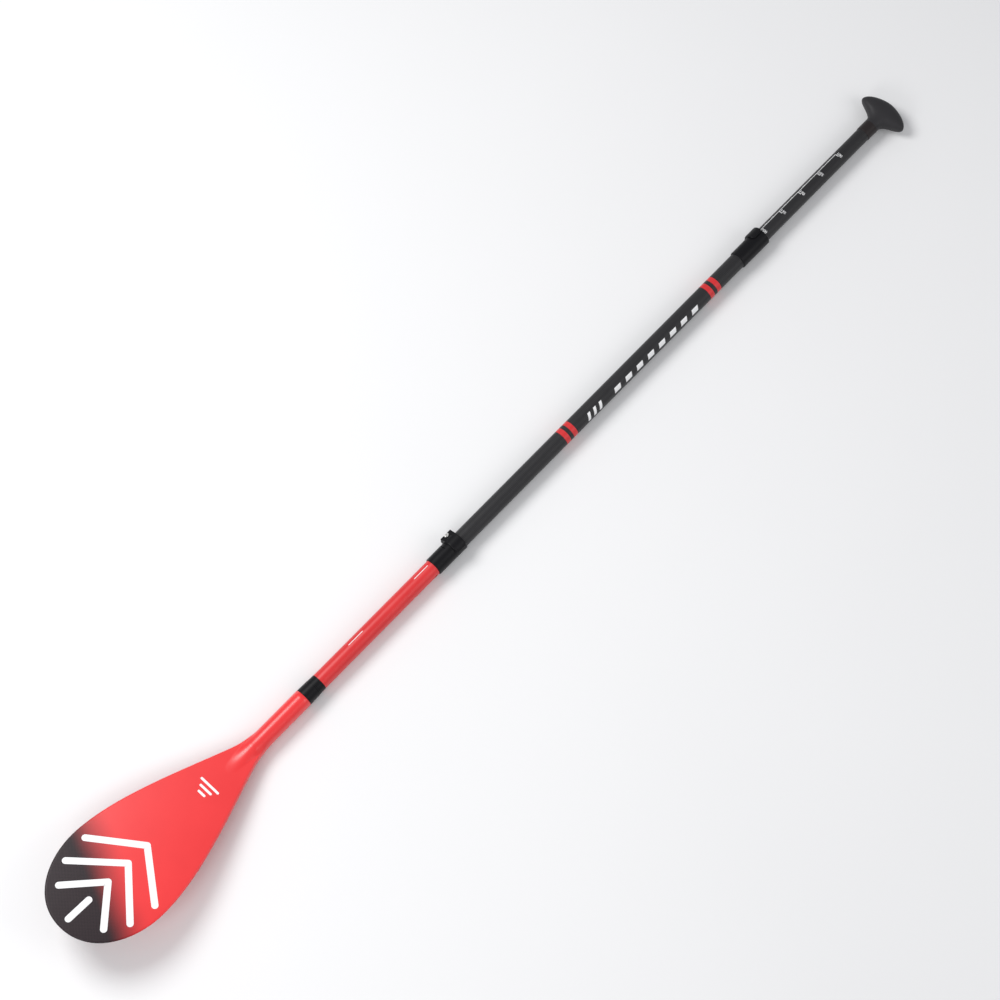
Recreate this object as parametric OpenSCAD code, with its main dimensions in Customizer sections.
// Three-piece adjustable single blade paddle, lying face up and assembled.
// X runs along the shaft: the blade tip is at -X and the grip at +X.
// Z = 0 is the ground, and the origin is below the middle of the paddle.

/* [Lengths] */
// Blade, from its tip to where the neck starts
blade_len = 410; // [380:5:440]
// Blade neck, the round socket moulded with the blade
neck_len = 116; // [100:2:130]
// Visible part of the black ferrule between neck and shaft
ferrule_len = 36; // [30:1:40]
// Visible part of the blade shaft tube
lower_tube_len = 267; // [240:1:300]
// Lever clamp, along the shaft
clamp_len = 65; // [62:1:72]
// Middle tube between the two clamps
middle_len = 695; // [640:5:740]
// Length of the printed scale on the handle tube
scale_len = 400; // [300:50:400]
// How far the handle is drawn out past the shortest setting
setting = 200; // [0:10:400]
// Highest scale mark to the top of the grip
grip_reach = 146; // [140:1:160]
// Handle tube below the last scale mark
handle_tail = 114; // [100:2:120]

/* [Tubes] */
// Outer diameter of the blade shaft and of the middle tube
tube_od = 29; // [28.6:0.1:30]
// Outer diameter of the handle tube and of the spigot
inner_od = 26; // [25:0.1:26]
// Radial gap between tubes that slide in each other
slide_gap = 0.05; // [0.02:0.01:0.1]
// Wall of the handle tube and of the spigot
inner_wall = 1.3; // [1:0.1:1.6]
// Length of spigot that goes into the blade shaft
spigot_len = 120; // [110:1:130]
// Length of spigot bonded inside the middle tube
spigot_bond = 50; // [30:1:60]

/* [Blade] */
// Widest part of the blade, across
blade_width = 194; // [180:2:210]
// Neck outer diameter
neck_od = 32.4; // [31:0.1:32.8]
// Angle between blade and shaft
rake = 10; // [0:1:12]
// Blade thickness on its centre line, at the neck
blade_thick = 16; // [14:0.5:18]
// Angle by which each face slopes in towards the tip
taper = 0.7; // [0.4:0.1:0.8]
// Radius of the crown across each face
crown_r = 1700; // [1500:50:2000]
// Thickness of the carbon skins
skin = 1; // [0.8:0.1:1.5]
// Width of the solid edge round the foam core
edge = 2.5; // [2:0.5:4]

/* [Clamps] */
// Clamp collar outer diameter
collar_od = 32.8; // [32.8:0.1:33.4]
// Width of the lever along the shaft
lever_w = 23; // [20:1:24]
// Thickness of the lever band
lever_t = 3; // [2.5:0.1:3.5]
// Distance of the lever pivot from the shaft axis, sideways
pivot_y = 19.4; // [19.4:0.1:20]
// Height of the lever pivot above the shaft axis
pivot_z = 8; // [8:0.1:8.5]
// Diameter of the cross pin
pin_d = 5; // [4:0.5:5]
// Width of the split in the collar
split = 1.6; // [1:0.1:2]
// How far the upper clamp is turned about the shaft from the lower one
upper_roll = -62; // [-80:1:0]

/* [Button] */
// Diameter of the spring button
button_d = 6; // [5:0.5:6.5]
// How far the button stands out when it is up
button_travel = 3.4; // [2.5:0.1:3.4]
// Button centre to the low end of the spigot
button_from_end = 47.5; // [45:0.5:55]

/* [Grip] */
// Grip width
grip_width = 92; // [84:1:100]
// Grip thickness
grip_thick = 31; // [29:0.5:34]
// Diameter of the grip neck where it starts
grip_neck_od = 27.6; // [27:0.1:29]
// Length of the grip neck and head
grip_len = 78; // [72:1:84]

/* [Hidden] */
$fn = 96;

// Places along the shaft
total_len = blade_len + neck_len + ferrule_len + lower_tube_len + 2 * clamp_len
  + middle_len + setting + grip_reach;
tip_x = -total_len / 2;
kink_x = tip_x + blade_len;
ferrule_x = kink_x + neck_len;
tube_x = ferrule_x + ferrule_len;
lower_clamp_x = tube_x + lower_tube_len;
mouth_x = lower_clamp_x + clamp_len;
upper_clamp_x = mouth_x + middle_len;
upper_mouth_x = upper_clamp_x + clamp_len;
grip_top_x = total_len / 2;
grip_x = grip_top_x - grip_len;
handle_low_x = upper_mouth_x + setting - scale_len - handle_tail;
spigot_low_x = mouth_x - spigot_len;
button_x = spigot_low_x + button_from_end;

// Radii
tube_r = tube_od / 2;
bore_r = inner_od / 2 + slide_gap;
inner_r = inner_od / 2;
inner_bore_r = inner_r - inner_wall;
neck_r = neck_od / 2;
collar_r = collar_od / 2;
seat_cut = 0.3;
seat_r = tube_r - seat_cut;
over = 1;
pin_r = pin_d / 2;

// Clamp
seat_len = 30;
relief_s = 32;
relief_w = 1.4;
relief_half_angle = 75;
lever_low = clamp_len - lever_w - 0.5;
lever_mid = lever_low + lever_w / 2;
lever_in_r = collar_r + 0.5;
lever_start = 25;
lever_end = 145;
lever_slot_end = 40;
lever_slot_w = 8.4;
cam_r = 3.6;
cam_offset = 0.6;
cam_gap = 0.1;
knuckle_inset = 0.4;
ear_gap = 0.5;
ear_len = lever_w - 2 * ear_gap;
ear_in = bore_r;
ear_out = pivot_y + 3.2;
ear_up = pivot_z - cam_r - cam_offset - cam_gap;
ear_down = 8;
ear_low = ear_out * sin(-upper_roll) + ear_down * cos(upper_roll);
axis_z = max(ear_low, collar_od / 2);
edge_round = 1;
screw_r = 1.5;
screw_hole_r = 1.6;
screw_head_r = 2.85;
screw_head_h = 2;
spot_face = 0.5;
nut_flats = 5.5;
nut_h = 2.4;
socket_flats = 2.5;
socket_depth = 1.2;

// Blade outline: each row is one cubic curve, as [distance from the neck, half width]
blade_half = blade_width / 2;
widest = 0.707 * blade_len;
flare_from = 34;
flare_half = 28.8;
blend_back = 24;
neck_blend = [[-blend_back, 11], [-8, 14.5], [10, 20.5], [flare_from, flare_half]];
flare = [[flare_from, flare_half], [125, 61.5], [212, blade_half - 0.5], [widest, blade_half]];
tip_curve = [[widest, blade_half], [widest + 55, blade_half], [blade_len, 66], [blade_len, 0]];
curve_steps = 12;
crown_steps = 9;
blade_reach = 460;
fairing_len = 100;
fairing_end_r = 3;
fairing_drop = 2.9;
neck_bore_r = 13;
neck_bore_len = 70;
neck_hollow_len = 96;

function bezier(p, t) = pow(1 - t, 3) * p[0] + 3 * t * pow(1 - t, 2) * p[1]
  + 3 * t * t * (1 - t) * p[2] + pow(t, 3) * p[3];

function bezier_slope(p, t) = 3 * pow(1 - t, 2) * (p[1] - p[0])
  + 6 * t * (1 - t) * (p[2] - p[1]) + 3 * t * t * (p[3] - p[2]);

// One side of the outline, moved in by an inset, square to the edge
function half_outline(inset) = [
  for (c = [neck_blend, flare, tip_curve], i = [0 : curve_steps - 1])
    let (
      q = bezier(c, i / curve_steps),
      d = bezier_slope(c, i / curve_steps),
      in = inset / norm(d)
    )
      [kink_x - q[0] - d[1] * in, q[1] - d[0] * in]
];

// Puts children on the shaft axis at x: their X becomes Y, their Y becomes Z, their Z becomes X
module section(x, roll = 0) {
  translate([x, 0, axis_z]) rotate([90, 0, 90]) rotate([0, 0, roll]) children();
}

module tube(x0, x1, r_out, r_in) {
  section(x0) difference() {
    cylinder(h = x1 - x0, r = r_out);
    translate([0, 0, -over]) cylinder(h = x1 - x0 + 2 * over, r = r_in);
  }
}

module rod(x0, x1, r) {
  section(x0) cylinder(h = x1 - x0, r = r);
}

// ---- Blade ----

module blade_frame() {
  translate([kink_x, 0, axis_z]) rotate([0, rake, 0]) children();
}

module plan(inset) {
  side = half_outline(inset);
  tip = [[kink_x - blade_len + inset, 0]];
  back = [for (i = [len(side) - 1 : -1 : 0]) [side[i][0], -side[i][1]]];
  polygon(concat(side, tip, back));
}

// Everything on the inner side of one crowned face, as narrow flat strips
module crowned_face(side, depth) {
  top = [
    for (i = [-crown_steps : crown_steps])
      let (y = i * blade_width / 2 / (crown_steps - 1))
        [y, blade_thick / 2 - depth - y * y / (2 * crown_r)]
  ];
  low = -2 * blade_thick;
  corners = [[top[2 * crown_steps][0], low], [top[0][0], low]];
  mirror([0, 0, side > 0 ? 0 : 1])
    rotate([0, -taper, 0])
      translate([-blade_reach, 0, 0])
        rotate([90, 0, 90])
          linear_extrude(height = 1.2 * blade_reach) polygon(concat(top, corners));
}

module blade_body(inset, depth) {
  intersection() {
    linear_extrude(height = 6 * axis_z) plan(inset);
    blade_frame() crowned_face(1, depth);
    blade_frame() crowned_face(-1, depth);
  }
}

module half_space(side) {
  blade_frame()
    translate([-blade_reach, -blade_width, side > 0 ? 0 : -blade_reach])
      cube([1.2 * blade_reach, 2 * blade_width, blade_reach]);
}

// The socket is carried on past the kink as a nose, so that it closes the outside of the bend
module neck_outer() {
  nose_start = 1;
  nose_end = 19;
  nose_end_r = 9.9;
  fairing_r = neck_r - 0.6;
  section(kink_x - nose_end) rotate_extrude() polygon([
    [0, 0], [nose_end_r, 0], [neck_r, nose_end - nose_start],
    [neck_r, neck_len + nose_end], [0, neck_len + nose_end]
  ]);
  blade_frame()
    rotate([0, -90 - fairing_drop, 0])
      cylinder(h = fairing_len, r1 = fairing_r, r2 = fairing_end_r);
}

module blade_skin(side) {
  difference() {
    intersection() {
      blade_body(0, 0);
      half_space(side);
    }
    blade_body(edge, skin);
    neck_outer();
  }
}

module blade_front_skin() {
  color("crimson") blade_skin(1);
}

module blade_back_skin() {
  color("firebrick") blade_skin(-1);
}

module blade_core() {
  color("ivory") difference() {
    blade_body(edge, skin);
    neck_outer();
  }
}

module blade_neck() {
  color("crimson") difference() {
    neck_outer();
    rod(ferrule_x - neck_bore_len, ferrule_x + over, neck_bore_r);
    rod(ferrule_x - neck_hollow_len, ferrule_x, neck_bore_r - 2);
  }
}

// ---- Blade shaft ----

module neck_ferrule() {
  plug_low = 60;
  plug_high = 45;
  bore = 10;
  low_r = 15.9;
  high_r = 14.8;
  groove_s = 22.5;
  groove_w = 1;
  groove_r = 14.2;
  color("black") section(ferrule_x) rotate_extrude() polygon([
    [bore, -plug_low], [neck_bore_r, -plug_low], [neck_bore_r, 0], [low_r, 0],
    [low_r - 0.5, groove_s], [groove_r, groove_s], [groove_r, groove_s + groove_w],
    [high_r + 0.3, groove_s + groove_w], [high_r, ferrule_len], [bore_r, ferrule_len],
    [bore_r, ferrule_len + plug_high], [bore, ferrule_len + plug_high]
  ]);
}

// A tube whose top end is turned down slightly to seat in a clamp collar
module clamped_tube(x0, clamp_x) {
  difference() {
    union() {
      tube(x0, clamp_x, tube_r, bore_r);
      tube(clamp_x, clamp_x + seat_len, seat_r, bore_r);
    }
    children();
  }
}

module button_hole(r) {
  translate([button_x, 0, axis_z]) rotate([90, 0, 0]) cylinder(h = collar_od, r = r, $fn = 48);
}

module red_tube() {
  color("crimson") clamped_tube(tube_x, lower_clamp_x) button_hole(button_d / 2 + slide_gap);
}

module shaft_foam_plug() {
  plug_gap = 20;
  plug_len = 40;
  plug_x = tube_x + 45 + plug_gap;
  color("dimgray") rod(plug_x, plug_x + plug_len, bore_r);
}

// ---- Lever clamp, the same on both joints ----

module screw_hole(r, z0, z1) {
  translate([pivot_y, z0, lever_mid]) rotate([-90, 0, 0]) cylinder(h = z1 - z0, r = r, $fn = 32);
}

module hexagon(flats, h) {
  cylinder(h = h, d = flats / cos(30), $fn = 6);
}

module collar(x, roll) {
  split_s = relief_s + relief_w / 2;
  section(x, roll) difference() {
    union() {
      rotate_extrude() polygon([
        [0, 0], [collar_r - edge_round, 0], [collar_r, edge_round],
        [collar_r, clamp_len - edge_round], [collar_r - edge_round, clamp_len], [0, clamp_len]
      ]);
      translate([ear_in, -ear_down, lever_low + ear_gap])
        cube([ear_out - ear_in, ear_down + ear_up, ear_len]);
    }
    translate([0, 0, -over]) cylinder(h = seat_len + over, r = seat_r);
    cylinder(h = clamp_len + over, r = bore_r);
    translate([0, -split / 2, split_s]) cube([2 * collar_r, split, clamp_len - split_s + over]);
    rotate([0, 0, -relief_half_angle])
      rotate_extrude(angle = 2 * relief_half_angle)
        translate([bore_r - over, relief_s]) square([2 * collar_r, relief_w]);
    screw_hole(screw_hole_r, -ear_down - over, ear_up + over);
    translate([pivot_y, -ear_down - over, lever_mid]) rotate([-90, 0, 0]) hexagon(nut_flats, nut_h + over);
  }
}

module cross_pin(x, roll) {
  end_gap = 1.2;
  section(x, roll) difference() {
    translate([pivot_y, pivot_z, lever_low + end_gap]) cylinder(h = lever_w - 2 * end_gap, r = pin_r);
    screw_hole(screw_r, pivot_z - 2 * pin_r, pivot_z + 2 * pin_r);
    translate([pivot_y - pin_r, pivot_z + pin_r - spot_face, lever_mid - screw_head_r - spot_face])
      cube([pin_d, pin_r, 2 * (screw_head_r + spot_face)]);
  }
}

module tension_screw(x, roll) {
  head_z = pivot_z + pin_r - spot_face;
  section(x, roll) difference() {
    union() {
      screw_hole(screw_r, -ear_down, head_z);
      screw_hole(screw_head_r, head_z, head_z + screw_head_h);
    }
    translate([pivot_y, head_z + screw_head_h - socket_depth, lever_mid])
      rotate([-90, 0, 0]) hexagon(socket_flats, socket_depth + over);
  }
}

module nut(x, roll) {
  section(x, roll) difference() {
    translate([pivot_y, -ear_down, lever_mid]) rotate([-90, 0, 0]) hexagon(nut_flats, nut_h);
    screw_hole(screw_r, -ear_down - over, over);
  }
}

module lever(x, roll) {
  section(x, roll) difference() {
    union() {
      rotate([0, 0, lever_start])
        rotate_extrude(angle = lever_end - lever_start)
          translate([lever_in_r, lever_low]) square([lever_t, lever_w]);
      translate([pivot_y, pivot_z - cam_offset, lever_low + knuckle_inset])
        cylinder(h = lever_w - 2 * knuckle_inset, r = cam_r);
    }
    translate([pivot_y, pivot_z, lever_low - over])
      cylinder(h = lever_w + 2 * over, r = pin_r + slide_gap);
    rotate([0, 0, -lever_slot_end])
      rotate_extrude(angle = 2 * lever_slot_end)
        translate([bore_r, lever_mid - lever_slot_w / 2]) square([collar_od, lever_slot_w]);
  }
}

module lower_collar() {
  color("black") collar(lower_clamp_x, 0);
}

module lower_cross_pin() {
  color("silver") cross_pin(lower_clamp_x, 0);
}

module lower_tension_screw() {
  color("silver") tension_screw(lower_clamp_x, 0);
}

module lower_nut() {
  color("silver") nut(lower_clamp_x, 0);
}

module lower_lever() {
  color("black") lever(lower_clamp_x, 0);
}

module upper_collar() {
  color("black") collar(upper_clamp_x, upper_roll);
}

module upper_cross_pin() {
  color("silver") cross_pin(upper_clamp_x, upper_roll);
}

module upper_tension_screw() {
  color("silver") tension_screw(upper_clamp_x, upper_roll);
}

module upper_nut() {
  color("silver") nut(upper_clamp_x, upper_roll);
}

module upper_lever() {
  color("black") lever(upper_clamp_x, upper_roll);
}

// ---- Middle section ----

module middle_tube() {
  color("dimgray") clamped_tube(mouth_x, upper_clamp_x);
}

module spigot_tube() {
  color("dimgray") difference() {
    union() {
      tube(spigot_low_x, mouth_x, inner_r, inner_bore_r);
      tube(mouth_x, mouth_x + spigot_bond, bore_r, inner_bore_r);
    }
    button_hole(button_d / 2 + slide_gap);
  }
}

module spigot_plug() {
  plug_recess = 2;
  plug_len = 20;
  plug_x = spigot_low_x + plug_recess;
  color("gray") rod(plug_x, plug_x + plug_len, inner_bore_r);
}

// The button's flange rests on one leg of a V-shaped leaf spring
flange_r = 4.2;
flange_h = 1.2;
flange_y = sqrt(inner_bore_r * inner_bore_r - flange_r * flange_r) - button_travel - 0.1;
leaf_t = 0.8;
leaf_w = 6;

module spring_button() {
  tip_round = 1;
  color("silver") translate([button_x, 0, axis_z]) rotate([90, 0, 0]) rotate_extrude() polygon([
    [0, flange_y - flange_h], [flange_r, flange_y - flange_h], [flange_r, flange_y],
    [button_d / 2, flange_y], [button_d / 2, inner_r - tip_round - 0.2],
    [button_d / 2 - tip_round, inner_r - 0.2], [0, inner_r - 0.2]
  ]);
}

module button_spring() {
  leaf_y = flange_y - flange_h;
  leg_len = 44;
  tail = 7;
  far_y = inner_bore_r - 1.2;
  color("silver") translate([button_x, 0, axis_z - leaf_w / 2]) linear_extrude(height = leaf_w)
    polygon([
      [-tail, -leaf_y], [6, -leaf_y], [leg_len, -0.6], [-tail, far_y],
      [-tail, far_y - leaf_t], [leg_len - 3, -0.6], [6, leaf_t - leaf_y], [-tail, leaf_t - leaf_y]
    ]);
}

// ---- Handle section ----

module handle_tube() {
  color("dimgray") tube(handle_low_x, grip_x + tube_in_grip, inner_r, inner_bore_r);
}

module handle_end_cap() {
  flange = 2;
  plug = 18;
  color("black") {
    rod(handle_low_x - flange, handle_low_x, inner_r - 0.1);
    rod(handle_low_x, handle_low_x + plug, inner_bore_r);
  }
}

core_cover = 14;
core_r = 10;
core_top_x = grip_top_x - core_cover;
tube_in_grip = 20;
core_in_tube = 45;
grip_steps = 12;
grip_neck_r = grip_neck_od / 2;
head_start = tube_in_grip;
head_wide = grip_len - 24;
head_start_r = 10;
head_pull = 10;
dome_pull = 11;
dome_half = 20;
side_pull = 14;
side_start_r = 13;
top_round = 5;
end_power = 0.8;
end_spare = 0.5;

// Plan of the head: it flares from the neck and closes in a deep dome
module head_plan() {
  half = grip_width / 2;
  flare = [
    [head_start, head_start_r], [head_wide - dome_pull, head_start_r + 2],
    [head_wide - head_pull, half], [head_wide, half]
  ];
  dome = [[head_wide, half], [head_wide + dome_pull, half], [grip_len, dome_half], [grip_len, 0]];
  side = [
    for (c = [flare, dome], i = [0 : grip_steps - 1])
      let (q = bezier(c, i / grip_steps)) [grip_x + q[0], q[1]]
  ];
  back = [for (i = [len(side) - 1 : -1 : 0]) [side[i][0], -side[i][1]]];
  polygon(concat(side, [[grip_top_x, 0]], back));
}

// Side view of the head: it swells to the grip's full thickness and rounds over at the top
module head_side() {
  half = grip_thick / 2;
  swell = [
    [head_start, head_start_r], [head_start + side_pull, side_start_r],
    [head_wide - head_pull, half], [head_wide, half]
  ];
  top = [
    [head_wide, half], [head_wide + side_pull, half],
    [grip_len, half - top_round], [grip_len, 0]
  ];
  upper = [
    for (c = [swell, top], i = [0 : grip_steps - 1])
      let (q = bezier(c, i / grip_steps)) [grip_x + q[0], q[1]]
  ];
  lower = [for (i = [len(upper) - 1 : -1 : 0]) [upper[i][0], -upper[i][1]]];
  polygon(concat(upper, [[grip_top_x, 0]], lower));
}

// End view of the head: wide and rounded
module head_end() {
  count = 4 * grip_steps;
  polygon([
    for (i = [0 : count - 1])
      let (a = 360 * (i + 0.5) / count, c = cos(a), d = sin(a))
        [
          (grip_width / 2 + end_spare) * sign(c) * pow(abs(c), end_power),
          (grip_thick / 2 + end_spare) * sign(d) * pow(abs(d), end_power)
        ]
  ]);
}

module grip_head() {
  intersection() {
    linear_extrude(height = 3 * axis_z) head_plan();
    translate([0, grip_width, axis_z]) rotate([90, 0, 0])
      linear_extrude(height = 2 * grip_width) head_side();
    section(grip_x) linear_extrude(height = grip_len + over) head_end();
  }
}

module grip_neck() {
  sleeve_end = 22;
  waist = 30;
  waist_r = 12.4;
  nose_end = 44;
  nose_end_r = 10.5;
  section(grip_x) rotate_extrude() polygon([
    [0, 0], [grip_neck_r, 0], [grip_neck_r, sleeve_end], [waist_r, waist],
    [nose_end_r, nose_end], [0, nose_end]
  ]);
}

module grip_outer() {
  grip_head();
  grip_neck();
}

module core_outer() {
  rod(grip_x - core_in_tube, grip_x + tube_in_grip, inner_bore_r);
  rod(grip_x + tube_in_grip, core_top_x, core_r);
}

module grip_core() {
  color("dimgray") core_outer();
}

module grip_shell() {
  color("darkslategray") difference() {
    grip_outer();
    core_outer();
    rod(grip_x - over, grip_x + tube_in_grip, inner_r);
  }
}

blade_front_skin();
blade_back_skin();
blade_core();
blade_neck();
neck_ferrule();
red_tube();
shaft_foam_plug();
lower_collar();
lower_cross_pin();
lower_tension_screw();
lower_nut();
lower_lever();
middle_tube();
spigot_tube();
spigot_plug();
button_spring();
spring_button();
upper_collar();
upper_cross_pin();
upper_tension_screw();
upper_nut();
upper_lever();
handle_tube();
handle_end_cap();
grip_core();
grip_shell();
